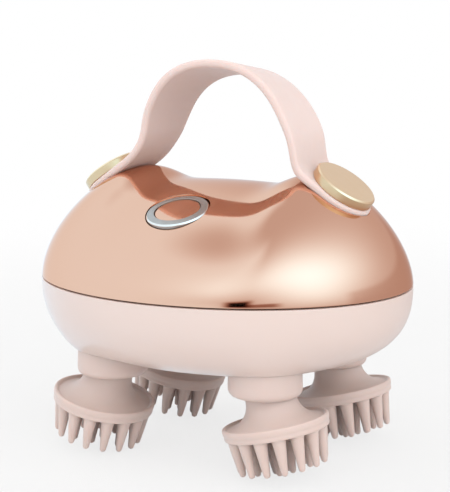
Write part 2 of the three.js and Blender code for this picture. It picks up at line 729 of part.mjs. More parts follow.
addPart('button_bezel', buttonBezel(), 'satinRing');
addPart('power_button', buttonCap(), 'roseChrome');
addPart('button_switch', buttonSwitch(), 'blackRubber');
addPart('switch_board', switchBoard(), 'board');

addPart('battery', batteryCell(), 'cellWrap');
addPart('battery_tray', batteryTray(), 'greyPlastic');
addPart('control_board', controlBoard(), 'board');
addPart('charge_socket', chargeSocket(), 'steel');
addPart('charge_plug', chargePlug(), 'blushSilicone');

addPart('motor', motorCan(), 'steel');
addPart('gear_base', gearBase(), 'greyPlastic');
addPart('gear_cover', gearCover(), 'greyPlastic');
addGearPins();
addGearTrain();
CHASSIS_POSTS.forEach(([x, y], i) => {
  addPart(`chassis_screw_${i + 1}`, chassisScrew(), 'steel').position.set(x, y, 0);
});

const brushes = corners().map(([, sx, sy]) => brushHead(sx, sy));
brushes[0].computeBoundingBox();
const FLOOR = brushes[0].boundingBox.min.z + TIP_WEAR;

corners().forEach(([name, sx, sy], i) => {
  const bush = ring(SHAFT_RADIUS + 0.25, 4.9, WELL_ROOF.bottom + 0.1, BASE_PLATE.top);
  const seal = ring(SHAFT_RADIUS + GAP, 5.6, HUB_TOP + GAP, WELL_ROOF.bottom - GAP);
  addPart(`shaft_bush_${name}`, bush, 'brass').position.set(sx * HEAD_X, sy * HEAD_Y, 0);
  addPart(`shaft_seal_${name}`, seal, 'blackRubber').position.set(sx * HEAD_X, sy * HEAD_Y, 0);
  addPart(`output_shaft_${name}`, outputShaft(sx, sy), 'steel');
  addPart(`spin_hub_${name}`, spinHub(sx, sy), 'blushSilicone');
  addPart(`brush_core_${name}`, brushCore(sx, sy), 'greyPlastic');
  addPart(`brush_head_${name}`, trimTips(brushes[i], FLOOR), 'blushSilicone');
});

massager.position.z = -FLOOR;

export default massager;
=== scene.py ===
"""Cordless scalp massager: the visible surfaces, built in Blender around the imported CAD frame.

Shapes are worked out in millimetres in the seam frame: the frame of the CAD model with z = 0 where
the two shells meet. Objects are in metres, in the frame of the CAD model.
"""

import json
import math

import bmesh
import bpy
import numpy as np
from mathutils import Matrix, Vector


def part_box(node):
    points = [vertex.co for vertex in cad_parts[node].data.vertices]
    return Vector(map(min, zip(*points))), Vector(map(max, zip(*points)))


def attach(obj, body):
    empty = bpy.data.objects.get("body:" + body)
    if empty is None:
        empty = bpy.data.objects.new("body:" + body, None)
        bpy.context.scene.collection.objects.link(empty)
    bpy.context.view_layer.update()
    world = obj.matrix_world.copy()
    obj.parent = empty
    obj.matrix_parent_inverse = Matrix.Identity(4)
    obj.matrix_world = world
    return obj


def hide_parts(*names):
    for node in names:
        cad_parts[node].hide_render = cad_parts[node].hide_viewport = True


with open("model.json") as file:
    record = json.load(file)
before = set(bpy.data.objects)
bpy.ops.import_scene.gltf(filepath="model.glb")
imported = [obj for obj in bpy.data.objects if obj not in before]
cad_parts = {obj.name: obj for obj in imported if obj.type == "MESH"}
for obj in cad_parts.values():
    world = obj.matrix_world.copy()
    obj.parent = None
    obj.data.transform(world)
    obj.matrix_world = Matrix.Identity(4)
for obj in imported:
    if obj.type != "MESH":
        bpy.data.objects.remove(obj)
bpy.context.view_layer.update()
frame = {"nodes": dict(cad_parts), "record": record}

# ---- driving dimensions, in millimetres -----------------------------------------------------

MM = 0.001
FIT_GAP = 0.3  # round a stud, shaft or spigot in its hole
SEAM_HALF_GAP = 0.15
SHOWN_HALF_GAP = 0.24  # a little wider than in the CAD, so that the dark line reads
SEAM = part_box("lower_shell")[1].z / MM + SEAM_HALF_GAP

BODY_HALF_LENGTH = 59.98
BODY_HALF_WIDTH = 49.68
WALL = 2.2
RIM_ROUND = 0.25
CUT_OVERRUN = 2.0
DOME = {"height": 41.0, "reach": 2.0, "rise": 1.7, "side": 1, "saddle_depth": 10.8}
BOWL = {"height": 25.2, "reach": 4.0, "rise": 2.6, "side": -1, "saddle_depth": 0.0}
SADDLE_HALF_WIDTH = 25.3
SADDLE_SHARPNESS = 7.5
SADDLE_SPREAD = 0.45
SADDLE_FLATNESS = 0.65
SADDLE_EVENED_TO = 0.9  # evening out stops at this square of x over the half length
SWELLING = {"x": 34.0, "y": 33.0, "radius": 10.0, "share": 0.11}

STRAP_HALF_WIDTH = 10.5
STRAP_THICKNESS = 2.5
STRAP_SLOPE = math.radians(35)
STRAP_SEAT = (38.6, 27.5)
STRAP_BRANCHES = {
    -1: {"lift_off": 10.5, "shoulder": (22.0, 46.0), "lean": (-0.28, 0.96), "twist": 0.13},
    1: {"lift_off": 9.0, "shoulder": (27.4, 46.0), "lean": (-0.38, 0.925), "twist": 0.05},
}
STRAP_CROWN_X = 1.5
STRAP_TOP = 67.6
STRAP_CROWN_FALL = 0.14
STRAP_PULLS = {"crown": 14.0, "above_shoulder": 11.5, "below_shoulder": 5.0, "lift_off": 4.5}
STRAP_TWIST_REACH = 20.0
STRAP_EDGE_ROUND = 1.05
SEAT_LENGTH = 16.0
SEAT_GAP = 0.1

KNOB_RADIUS = 9.9
KNOB_THICKNESS = 2.8
STUD_RADIUS = 2.5
STUD_LENGTH = 12.5

BUTTON_PLACE = (0.0, -27.5, 24.1)
BUTTON_TILT = math.radians(20.5)
BEZEL_RADIUS = 9.5
BEZEL_HOLE = 9.8
RING_FACE_RADIUS = 9.15
RING_CHAMFER_Z = -0.5
RING_BORE_RADIUS = 7.0
RING_FLANGE_RADIUS = 11.5
CAP_RADIUS = 6.8
CAP_FLANGE_RADIUS = 8.2
BUTTON_FACE_Z = -0.05

HEAD_X = 26.8
HEAD_Y = 22.6
HEAD_TILT = math.radians(12.3)
HEAD_PIVOT_Z = -21.4
HUB_RADIUS = 11.1
HUB_TOP_RADIUS = 10.7
HUB_BOTTOM = -29.2
HUB_TOP = -17.6
WELL_RADIUS = 11.45
WELL_ROOF = -16.2
WELL_WALL = 1.75
WELL_ROOF_THICKNESS = 2.0
SHAFT_BORE_RADIUS = 5.2
SHAFT_RADIUS = 3.0
SHAFT_REACH = 4.3  # into the hub
SPIGOT_RADIUS = 3.6
POCKET_RADIUS = 7.9

# Along the head's own axis from its pivot, and then round it.
SPIGOT_START = -4.6
POCKET_ROOF = -5.2
NECK_TOP = -5.5
CORE_TOP = -5.6
DISC_TOP = -14.6
DISC_BOTTOM = -16.2
PLATE_TOP = -15.2
PLATE_BOTTOM = -18.4
NECK_RADIUS = 7.5
CORE_RADIUS = 6.0
DISC_RADIUS = 9.5
PLATE_RADIUS = 15.9

BRISTLE_BASE_RADIUS = 2.15
BRISTLE_TIP_RADIUS = 1.0
BRISTLE_FILLET = 0.5
BRISTLE_LEAN = math.radians(2)
BRISTLE_RINGS = ((15, 13.0, 11.1), (9, 8.3, 12.3), (4, 3.3, 13.1))  # count, ring radius, length
SILICONE_VOXEL = 0.28

PORT_Z = -7.5
PORT_HALF_WIDTH = 6.2
PORT_HALF_HEIGHT = 2.9
PORT_GAP = 0.15
PLUG_DEPTH = 1.8
TONGUE_END = 6.4
PLUG_CROWN = 0.25

CORNERS = (
    ("front_left", -1, -1),
    ("front_right", 1, -1),
    ("back_right", 1, 1),
    ("back_left", -1, 1),
)
SIDES = (("left", -1), ("right", 1))


# ---- placing --------------------------------------------------------------------------------

def seam_place(x=0.0, y=0.0, z=0.0):
    """The matrix, in metres, that puts an object's origin at a point of the seam frame."""
    return Matrix.Translation(Vector((x, y, z + SEAM)) * MM)


def strap_seat_place(side):
    x, z = STRAP_SEAT
    return seam_place(side * x, 0, z) @ Matrix.Rotation(side * STRAP_SLOPE, 4, "Y")


def button_place():
    return seam_place(*BUTTON_PLACE) @ Matrix.Rotation(BUTTON_TILT, 4, "X")


def hub_place(sx, sy):
    return seam_place(sx * HEAD_X, sy * HEAD_Y)


def head_place(sx, sy):
    pivot = seam_place(sx * HEAD_X, sy * HEAD_Y, HEAD_PIVOT_Z)
    return pivot @ Matrix.Rotation(-sx * HEAD_TILT, 4, "Y")


# ---- mesh making ----------------------------------------------------------------------------

def make_object(name, points, faces, place=None):
    """A closed mesh object from points in millimetres, welded, with its faces pointing out."""
    mesh = bpy.data.meshes.new(name)
    mesh.from_pydata([Vector(p) * MM for p in points], [], faces)
    work = bmesh.new()
    work.from_mesh(mesh)
    bmesh.ops.remove_doubles(work, verts=work.verts, dist=1e-7)
    bmesh.ops.dissolve_degenerate(work, edges=work.edges, dist=1e-7)
    bmesh.ops.recalc_face_normals(work, faces=work.faces)
    work.to_mesh(mesh)
    work.free()
    made = bpy.data.objects.new(name, mesh)
    bpy.context.scene.collection.objects.link(made)
    made.matrix_world = place if place is not None else seam_place()
    return made


def softened(outline, steps=5):
    """Rounds the corners of a closed outline of (radius, z) or (radius, z, rounding) points."""
    points = []
    count = len(outline)
    for i, (r, z, *rounding) in enumerate(outline):
        corner = Vector((r, z))
        if not rounding:
            points.append(corner)
            continue
        before = Vector(outline[i - 1][:2])
        after = Vector(outline[(i + 1) % count][:2])
        start = corner + (before - corner).normalized() * rounding[0]
        end = corner + (after - corner).normalized() * rounding[0]
        for k in range(steps + 1):
            t = k / steps
            points.append(start * (1 - t) ** 2 + corner * 2 * t * (1 - t) + end * t ** 2)
    return points


def curve_points(start, handle_a, handle_b, end, steps):
    """Points of a cubic Bezier curve, without its first one."""
    ends = [Vector(p) for p in (start, handle_a, handle_b, end)]
    points = []
    for k in range(1, steps + 1):
        t = k / steps
        shares = ((1 - t) ** 3, 3 * t * (1 - t) ** 2, 3 * t * t * (1 - t), t ** 3)
        points.append(sum((p * s for p, s in zip(ends, shares)), Vector((0, 0))))
    return points


def lathe(name, outline, place=None, segments=96):
    """Turns an outline about Z. It starts and ends on the axis, or else closes on itself."""
    points = []
    rings = []
    for r, z in softened(outline):
        start = len(points)
        if r < 1e-6:
            points.append((0, 0, z))
            rings.append([start] * segments)
            continue
        for k in range(segments):
            angle = 2 * math.pi * k / segments
            points.append((r * math.cos(angle), r * math.sin(angle), z))
        rings.append(list(range(start, start + segments)))
    on_axis = outline[0][0] < 1e-6
    pairs = zip(rings, rings[1:]) if on_axis else zip(rings, rings[1:] + rings[:1])
    faces = []
    for low, high in pairs:
        for k in range(segments):
            n = (k + 1) % segments
            corners = dict.fromkeys((low[k], low[n], high[n], high[k]))
            if len(corners) > 2:
                faces.append(list(corners))
    return make_object(name, points, faces, place)


def rod(name, radius, low, high, place=None, segments=96):
    """A plain cylinder about the place's Z axis."""
    return lathe(name, [(0, low), (radius, low), (radius, high), (0, high)], place, segments)


def rows_to_faces(row_count, row_length):
    """Quads between neighbouring rows of a grid whose rows close on themselves."""
    faces = []
    for row in range(row_count - 1):
        for k in range(row_length):
            n = (k + 1) % row_length
            low = row * row_length
            faces.append((low + k, low + n, low + row_length + n, low + row_length + k))
    return faces


def oblong_loop(straight, radius, side_steps, end_steps):
    """Points (u, v) round a shape with two straight sides and two half-circle ends."""
    half = [(straight * (2 * k / side_steps - 1), -radius) for k in range(side_steps)]
    for k in range(end_steps):
        angle = math.pi * (k / end_steps - 0.5)
        half.append((straight + radius * math.cos(angle), radius * math.sin(angle)))
    return half + [(-u, -v) for u, v in half]


def pillow(name, straight, radius, low, high, rounding, bend, place=None, side_steps=8, inner_steps=5):
    """A slab with an oblong outline and rounded edges. bend maps (u, v, w) to the final point."""
    edge_steps = 6
    end_steps = 28
    edge = []
    for k in range(edge_steps + 1):
        angle = math.pi / 2 * k / edge_steps
        edge.append((rounding * (1 - math.sin(angle)), rounding * (1 - math.cos(angle))))
    inward = [radius - (radius - rounding) * k / inner_steps for k in range(inner_steps)]
    profile = [(inset, low) for inset in inward]
    profile += [(inset, low + lift) for inset, lift in edge]
    profile += [(inset, high - lift) for inset, lift in reversed(edge)]
    profile += [(inset, high) for inset in reversed(inward)]
    points = []
    for inset, w in profile:
        loop = oblong_loop(straight, radius - inset, side_steps, end_steps)
        points += [bend(u, v, w) for u, v in loop]
    row_length = len(points) // len(profile)
    return make_object(name, points, rows_to_faces(len(profile), row_length), place)


def combine(target, tools, operation):
    """Cuts the tools from the target, or joins them to it, and removes the tools."""
    for tool in tools:
        modifier = target.modifiers.new(operation, "BOOLEAN")
        modifier.operation = operation
        modifier.solver = "MANIFOLD"
        modifier.object = tool
    bake_modifiers(target)
    for tool in tools:
        bpy.data.objects.remove(tool)


def bake_modifiers(target):
    """Puts the shape that an object's modifiers give into its mesh."""
    bpy.context.view_layer.update()
    depsgraph = bpy.context.evaluated_depsgraph_get()
    mesh = bpy.data.meshes.new_from_object(target.evaluated_get(depsgraph))
    target.modifiers.clear()
    target.data = mesh


def shade(target, crease=40):
    """Smooth shading that stays crisp at edges sharper than the crease angle, in degrees."""
    mesh = target.data
    mesh.polygons.foreach_set("use_smooth", [True] * len(mesh.polygons))
    mesh.set_sharp_from_angle(angle=math.radians(crease))


def tone_faces(target, material, chosen):
    """Gives a second material to the faces whose centre, in millimetres, is a chosen one."""
    target.data.materials.append(material)
    for face in target.data.polygons:
        if chosen(face.center.xy.length / MM, face.center.z / MM):
            face.material_index = 1


def finish_piece(target, body, node, material):
    """Gives a piece its material and its CAD body, and hides the CAD node that it stands for."""
    target.data.materials.clear()
    target.data.materials.append(material)
    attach(target, body)
    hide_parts(node)
    return target


# ---- body shells ----------------------------------------------------------------------------

def saddle_share(cap, x, y):
    """How much height the finger saddle leaves the cap, as a share. The saddle widens towards
    the front and the back, and its floor evens out most of the cap's fall to the sides."""
    across = np.minimum(SADDLE_EVENED_TO, (x / BODY_HALF_LENGTH) ** 2)
    along = (y / BODY_HALF_WIDTH) ** 2
    half_width = SADDLE_HALF_WIDTH * (1 + SADDLE_SPREAD * along)
    side = (np.abs(x) / half_width) ** SADDLE_SHARPNESS
    evened = SADDLE_FLATNESS * ((1 - across) ** (-1 / cap["rise"]) - 1) * np.maximum(0, 1 - along)
    floor = (1 - cap["saddle_depth"] / cap["height"]) * (1 + evened)
    return 1 - (1 - floor) / (1 + side)


def swelling_share(x, y):
    """How much fuller the bowl is just outside each hub, so that its curve covers the hub's top."""
    apart = (np.abs(x) - SWELLING["x"]) ** 2 + (np.abs(y) - SWELLING["y"]) ** 2
    return 1 + SWELLING["share"] * np.exp(-apart / SWELLING["radius"] ** 2)


def height_share(cap, x, y):
    """What a point of the cap's plain curve is multiplied by."""
    return saddle_share(cap, x, y) if cap["saddle_depth"] else swelling_share(x, y)


def cap_solid(name, cap, inset, segments, rings):
    """One elliptical cap as a closed solid. With no inset it ends at the seam, with a rounded rim;
    with one it runs on past the seam, to cut out the inside."""
    height = cap["height"] - inset
    half_length = BODY_HALF_LENGTH - inset
    half_width = BODY_HALF_WIDTH - inset
    points = []
    rim = [(RIM_ROUND, SHOWN_HALF_GAP), (RIM_ROUND * 0.3, SHOWN_HALF_GAP + RIM_ROUND * 0.3)]
    if inset:
        rim = [(0.0, -CUT_OVERRUN)]
    for back, z in rim:
        for k in range(segments):
            angle = 2 * math.pi * k / segments
            x = (half_length - back) * math.cos(angle)
            y = (half_width - back) * math.sin(angle)
            points.append((x, y, cap["side"] * z))
    lowest = 0.0 if inset else RIM_ROUND + SHOWN_HALF_GAP
    first = math.acos((1 - (lowest / height) ** cap["rise"]) ** (1 / cap["reach"]))
    for i in range(rings):
        share = math.cos(first + (math.pi / 2 - first) * i / rings)
        rise = height * max(0.0, 1 - share ** cap["reach"]) ** (1 / cap["rise"])
        for k in range(segments):
            angle = 2 * math.pi * k / segments
            x = half_length * share * math.cos(angle)
            y = half_width * share * math.sin(angle)
            z = max(rise * float(height_share(cap, x, y)), lowest)
            points.append((x, y, cap["side"] * z))
    rows = len(rim) + rings
    faces = rows_to_faces(rows, segments)
    faces.append(list(range(segments)))
    points.append((0, 0, cap["side"] * height * float(height_share(cap, 0.0, 0.0))))
    top_row = (rows - 1) * segments
    for k in range(segments):
        faces.append((top_row + k, top_row + (k + 1) % segments, len(points) - 1))
    return make_object(name, points, faces)


def cap_surface(cap, x, y):
    """The height and the unit normal of a cap's formula at points of the seam plane."""
    share = np.sqrt((x / BODY_HALF_LENGTH) ** 2 + (y / BODY_HALF_WIDTH) ** 2)
    share = np.clip(share, 1e-4, 1 - 1e-9)
    left = 1 - share ** cap["reach"]
    shaped = height_share(cap, x, y)
    step = 1e-3
    slope_x = (height_share(cap, x + step, y) - height_share(cap, x - step, y)) / (2 * step)
    slope_y = (height_share(cap, x, y + step) - height_share(cap, x, y - step)) / (2 * step)
    fall = cap["height"] * shaped * cap["reach"] / cap["rise"] * share ** (cap["reach"] - 2)
    normal = np.stack([
        fall * x / BODY_HALF_LENGTH ** 2 - cap["height"] * left * slope_x,
        fall * y / BODY_HALF_WIDTH ** 2 - cap["height"] * left * slope_y,
        left ** (1 - 1 / cap["rise"]) * cap["side"],
    ], axis=1)
    normal /= np.linalg.norm(normal, axis=1, keepdims=True)
    return cap["height"] * left ** (1 / cap["rise"]) * shaped, normal


def exact_normals(target, cap):
    """Shades a shell's outside with the true normals of its formula, so that reflections run clean."""
    nearness = 0.05  # how far a corner may lie from the formula's surface
    agreement = 0.97  # the least cosine between a face's own normal and the formula's
    mesh = target.data
    vertex = np.zeros(len(mesh.loops), int)
    mesh.loops.foreach_get("vertex_index", vertex)
    co = np.zeros(len(mesh.vertices) * 3)
    mesh.vertices.foreach_get("co", co)
    x, y, z = (co.reshape(-1, 3) / MM)[vertex].T
    z = z * cap["side"]
    height, normal = cap_surface(cap, x, y)
    offset = np.abs(z - height) * np.abs(normal[:, 2])
    shown = np.zeros(len(mesh.loops) * 3)
    mesh.corner_normals.foreach_get("vector", shown)
    shown = shown.reshape(-1, 3)
    flat = np.zeros(len(mesh.polygons) * 3)
    mesh.polygon_normals.foreach_get("vector", flat)
    size = np.zeros(len(mesh.polygons), int)
    mesh.polygons.foreach_get("loop_total", size)
    flat = np.repeat(flat.reshape(-1, 3), size, axis=0)
    aligned = (flat * normal).sum(1) > agreement
    outside = (offset < nearness) & aligned & (z > SHOWN_HALF_GAP + RIM_ROUND)
    shown[outside] = normal[outside]
    mesh.normals_split_custom_set(shown.tolist())


def strap_seat_cutters():
    """The shallow flat under each strap end, with its stud hole."""
    reach = STRAP_HALF_WIDTH + SEAT_GAP * 2
    cutters = []
    for name, side in SIDES:
        seat = strap_seat_place(side)
        up_slope = pillow(
            f"seat_cutter_{name}", SEAT_LENGTH, reach, -SEAT_GAP, 20, 0.05,
            lambda u, v, w, side=side: (u - side * SEAT_LENGTH, v, w), seat,
        )
        cutters += [up_slope, rod(f"stud_cutter_{name}", STUD_RADIUS + FIT_GAP, -20, 5, seat, 48)]
    return cutters


def upper_shell(material):
    """The dome with its finger saddle, the strap seats and the button's hole."""
    shell = cap_solid("upper_shell_mirror", DOME, 0.0, 288, 96)
    inside = cap_solid("upper_inside", DOME, WALL, 96, 32)
    cutters = [inside, rod("bezel_cutter", BEZEL_HOLE, -14, 8, button_place(), 128)]
    combine(shell, cutters + strap_seat_cutters(), "DIFFERENCE")
    shade(shell)
    exact_normals(shell, DOME)
    return finish_piece(shell, "housing", "upper_shell", material)


def lower_shell(material):
    """The bowl with a roofed well round each hub, kept inside the bowl's own outside."""
    shell = cap_solid("lower_shell_blush", BOWL, 0.0, 288, 72)
    outside = cap_solid("lower_outside", BOWL, 0.0, 288, 72)
    inside = cap_solid("lower_inside", BOWL, WALL, 96, 32)
    combine(shell, [inside], "DIFFERENCE")
    wells = []
    cutters = []
    for name, sx, sy in CORNERS:
        place = hub_place(sx, sy)
        roof_top = WELL_ROOF + WELL_ROOF_THICKNESS
        wells.append(rod(f"well_{name}", WELL_RADIUS + WELL_WALL, -30, roof_top, place))
        cutters.append(rod(f"cavity_{name}", WELL_RADIUS, -35, WELL_ROOF, place))
        cutters.append(rod(f"bore_{name}", SHAFT_BORE_RADIUS, -20, -10, place, 48))
    cutters.append(pillow(
        "port_cutter", PORT_HALF_WIDTH - PORT_HALF_HEIGHT, PORT_HALF_HEIGHT + PORT_GAP, 40, 60, 0.05,
        lambda u, v, w: (u, w, PORT_Z + v),
    ))
    combine(shell, wells, "UNION")
    combine(shell, [outside], "INTERSECT")
    combine(shell, cutters, "DIFFERENCE")
    shade(shell)
    exact_normals(shell, BOWL)
    return finish_piece(shell, "housing", "lower_shell", material)


# ---- strap and knobs ------------------------------------------------------------------------

def strap_branch_line(side):
    """Distance along one branch of the strap's middle line, from the crown to the knob axis,
    with x and z. The left branch is drawn mirrored."""
    branch = STRAP_BRANCHES[side]
    slope = Vector((math.cos(STRAP_SLOPE), -math.sin(STRAP_SLOPE)))
    normal = Vector((math.sin(STRAP_SLOPE), math.cos(STRAP_SLOPE)))
    seat = Vector(STRAP_SEAT) + normal * (STRAP_THICKNESS / 2)
    lift_off = seat - slope * branch["lift_off"]
    shoulder = Vector(branch["shoulder"])
    lean = Vector(branch["lean"])
    crown_z = STRAP_TOP - STRAP_THICKNESS / 2 - STRAP_CROWN_FALL * STRAP_HALF_WIDTH
    crown = Vector((side * STRAP_CROWN_X, crown_z))
    handle = crown + Vector((STRAP_PULLS["crown"], 0))
    above = shoulder + lean * STRAP_PULLS["above_shoulder"]
    below = shoulder - lean * STRAP_PULLS["below_shoulder"]
    landing = lift_off - slope * STRAP_PULLS["lift_off"]
    points = [crown]
    points += curve_points(crown, handle, above, shoulder, 400)
    points += curve_points(shoulder, below, landing, lift_off, 300)
    points += [lift_off.lerp(seat, k / 40) for k in range(1, 41)]
    line = np.array(points)
    steps = np.linalg.norm(np.diff(line, axis=0), axis=1)
    distance = np.concatenate([[0], np.cumsum(steps)])
    tangent = np.gradient(line, distance, axis=0)
    tangent[0] = (1, 0)
    tangent /= np.linalg.norm(tangent, axis=1, keepdims=True)
    return distance, line, tangent


def smooth_share(value, start, end):
    """0 at start, 1 at end, and smooth between them."""
    share = min(max((value - start) / (end - start), 0.0), 1.0)
    return share * share * (3 - 2 * share)


def strap_bend():
    """The length of half the strap, and the function that bends a flat strap on to its line."""
    branches = {side: strap_branch_line(side) for _, side in SIDES}
    length = sum(distance[-1] for distance, _, _ in branches.values()) / 2
    shoulder = STRAP_BRANCHES[1]["shoulder"][1]

    def bend(u, v, w):
        side = 1 if u >= 0 else -1
        distance, line, tangent = branches[side]
        along = min(abs(u) / length, 1.0) * distance[-1]
        beyond = max(abs(u) - length, 0.0)
        x, z, tx, tz = (
            np.interp(along, distance, column)
            for column in (line[:, 0], line[:, 1], tangent[:, 0], tangent[:, 1])
        )
        x += tx * beyond - tz * w
        z += tz * beyond + tx * w
        x *= side
        risen = smooth_share(z, shoulder - 8, shoulder + 6)
        crown = smooth_share(z, shoulder - 6, STRAP_TOP - 3)
        left, right = (STRAP_BRANCHES[way]["twist"] for way in (-1, 1))
        twist = left + (right - left) * smooth_share(x, -STRAP_TWIST_REACH, STRAP_TWIST_REACH)
        return (x + twist * risen * v, v, z - STRAP_CROWN_FALL * crown * v)

    return length, bend


def strap(material):
    """The silicone band, flat on its two seats and arched between them, with the stud holes."""
    length, bend = strap_bend()
    half = STRAP_THICKNESS / 2
    band = pillow(
        "hand_strap", length, STRAP_HALF_WIDTH, -half, half, STRAP_EDGE_ROUND, bend,
        side_steps=180, inner_steps=7,
    )
    holes = [
        rod(f"strap_hole_{name}", STUD_RADIUS + FIT_GAP, -8, 8, strap_seat_place(side), 48)
        for name, side in SIDES
    ]
    combine(band, holes, "DIFFERENCE")
    shade(band, 50)
    return finish_piece(band, "housing", "strap", material)


def strap_knob(name, side, face_material, edge_material):
    """A flat disc with a bevelled rim, in one piece with the stud through the strap."""
    bottom = STRAP_THICKNESS + 0.05
    top = STRAP_THICKNESS + 0.2 + KNOB_THICKNESS
    stud = bottom + 0.15 - STUD_LENGTH
    bevel = 0.55
    outline = [
        (0, stud), (STUD_RADIUS, stud, 0.3), (STUD_RADIUS, bottom), (KNOB_RADIUS, bottom, 0.25),
        (KNOB_RADIUS, top - bevel, 0.12), (KNOB_RADIUS - bevel, top, 0.12), (0, top),
    ]
    knob = lathe(f"knob_{name}", outline, strap_seat_place(side), 160)
    shade(knob)
    finish_piece(knob, "housing", f"strap_knob_{name}", face_material)
    # The side wall takes a darker gold than the face: painted shade, dimming the bright reflections on
    # the side.
    tone_faces(knob, edge_material, lambda r, z: r > KNOB_RADIUS - 0.2)
    return knob


# ---- power button ---------------------------------------------------------------------------

def button_bezel(face_material, edge_material):
    """A ring with a satin face and a polished chamfer round its outer edge."""
    ring = lathe("button_ring", [
        (8.6, -10), (9.0, -10), (9.0, -6), (RING_FLANGE_RADIUS, -6, 0.2),
        (RING_FLANGE_RADIUS, -4.9, 0.2), (BEZEL_RADIUS, -4.9), (BEZEL_RADIUS, RING_CHAMFER_Z, 0.08),
        (RING_FACE_RADIUS, BUTTON_FACE_Z, 0.06), (RING_BORE_RADIUS, 0.2, 0.12),
        (RING_BORE_RADIUS, -3), (8.6, -3),
    ], button_place(), 160)
    shade(ring, 25)
    finish_piece(ring, "housing", "button_bezel", face_material)
    tone_faces(ring, edge_material, lambda r, z: r > RING_FACE_RADIUS and z > RING_CHAMFER_Z - 0.1)
    return ring


def button_cap(material):
    """The round cap inside the ring, with a flange that holds it in and a peg for the switch."""
    cap = lathe("button_cap", [
        (0, -5.9), (2, -5.9, 0.2), (2, -4.4), (CAP_FLANGE_RADIUS, -4.4, 0.1),
        (CAP_FLANGE_RADIUS, -3.4, 0.1), (CAP_RADIUS, -3.4), (CAP_RADIUS, BUTTON_FACE_Z, 0.28),
        (0, BUTTON_FACE_Z),
    ], button_place(), 160)
    shade(cap)
    return finish_piece(cap, "power_button", "power_button", material)


# ---- charging plug --------------------------------------------------------------------------

def charge_plug(material):
    """A soft oblong plug with a slightly crowned face, a tongue and a notch for a fingernail."""
    straight = PORT_HALF_WIDTH - PORT_HALF_HEIGHT
    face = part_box("charge_plug")[1].y / MM

    def crowned(u, v, w):
        crown = PLUG_CROWN * (1 - (u / PORT_HALF_WIDTH) ** 2) * (1 - (v / PORT_HALF_HEIGHT) ** 2)
        return (u, w + (crown if w > face - 0.6 else 0), PORT_Z + v)

    plug = pillow("plug", straight, PORT_HALF_HEIGHT, face - PLUG_DEPTH, face, 0.35, crowned)
    tongue = pillow(
        "tongue", 2.85, 1.35, face - TONGUE_END, face - 1.2, 0.3, lambda u, v, w: (u, w, PORT_Z + v),
    )
    notch = lathe(
        "notch", [(0, -2.6), (1.3, -2.2), (2.4, 0), (1.3, 2.2), (0, 2.6)],
        seam_place(PORT_HALF_WIDTH + 0.3, face + 1.7, PORT_Z),
    )
    combine(plug, [tongue], "UNION")
    combine(plug, [notch], "DIFFERENCE")
    shade(plug, 50)
    return finish_piece(plug, "charge_plug", "charge_plug", material)


# ---- hubs and brush heads -------------------------------------------------------------------

def spin_hub(name, sx, sy, material):
    """A cup that turns on the upright shaft, with the head's tilted spigot in its pocket."""
    place = hub_place(sx, sy)
    hub = lathe(f"hub_{name}", [
        (0, HUB_BOTTOM), (HUB_RADIUS, HUB_BOTTOM, 2.6), (HUB_TOP_RADIUS, HUB_TOP, 0.4), (0, HUB_TOP),
    ], place, 128)
    head = head_place(sx, sy)
    pocket = lathe("pocket", [
        (0, -30), (POCKET_RADIUS, -30), (POCKET_RADIUS, POCKET_ROOF, 0.4), (0, POCKET_ROOF),
    ], head)
    shaft = rod("shaft", SHAFT_RADIUS + FIT_GAP, HUB_TOP - SHAFT_REACH, -10, place)
    spigot = lathe("spigot", [
        (0, DISC_TOP), (SPIGOT_RADIUS, DISC_TOP, 0.5), (SPIGOT_RADIUS, SPIGOT_START), (0, SPIGOT_START),
    ], head)
    combine(hub, [pocket, shaft], "DIFFERENCE")
    combine(hub, [spigot], "UNION")
    shade(hub)
    return finish_piece(hub, f"spin_hub_{name}", f"spin_hub_{name}", material)


def settle(target, origin):
    """Writes an object's turn into its mesh, so that only a shift to the origin point is left."""
    shift = Matrix.Translation(origin)
    target.data.transform(shift.inverted() @ target.matrix_world)
    target.matrix_world = shift


def brush_core(name, sx, sy, material):
    """The stiff socket inside a silicone head: a sleeve over the spigot, on a disc."""
    bore = SPIGOT_RADIUS + FIT_GAP
    core = lathe(f"core_{name}", [
        (0, DISC_BOTTOM), (DISC_RADIUS, DISC_BOTTOM, 0.3), (DISC_RADIUS, DISC_TOP, 0.3),
        (CORE_RADIUS, DISC_TOP, 0.3), (CORE_RADIUS, CORE_TOP, 0.3), (bore, CORE_TOP, 0.2),
        (bore, DISC_TOP - 0.4), (0, DISC_TOP - 0.4),
    ], head_place(sx, sy))
    settle(core, core.matrix_world.translation)
    shade(core)
    return finish_piece(core, f"brush_{name}", f"brush_core_{name}", material)


def head_plate():
    """The brush's hollow neck, its flare and its rimmed plate, about the head's own axis."""
    flare = curve_points((14.2, -16.0), (10.4, -15.2), (7.6, -13.2), (NECK_RADIUS, -8.6), 12)
    outline = [(0, PLATE_BOTTOM), (14.4, PLATE_BOTTOM), (14.9, PLATE_BOTTOM - 0.5, 0.3)]
    outline += [(PLATE_RADIUS - 0.15, PLATE_BOTTOM - 0.5, 0.7), (PLATE_RADIUS - 0.3, -17.3, 0.2)]
    outline += [(PLATE_RADIUS, -17.0, 0.2), (PLATE_RADIUS, PLATE_TOP, 0.7)]
    outline += [(14.9, PLATE_TOP, 0.5), (14.5, -16.0, 0.2)]
    outline += [tuple(p) for p in flare]
    outline += [(NECK_RADIUS, NECK_TOP, 0.4), (CORE_RADIUS + FIT_GAP, NECK_TOP, 0.3)]
    outline += [(CORE_RADIUS + FIT_GAP, DISC_TOP + FIT_GAP), (DISC_RADIUS + FIT_GAP, DISC_TOP + FIT_GAP)]
    outline += [(DISC_RADIUS + FIT_GAP, DISC_BOTTOM - FIT_GAP), (0, DISC_BOTTOM - FIT_GAP)]
    return lathe("plate", outline, Matrix.Identity(4), 128)


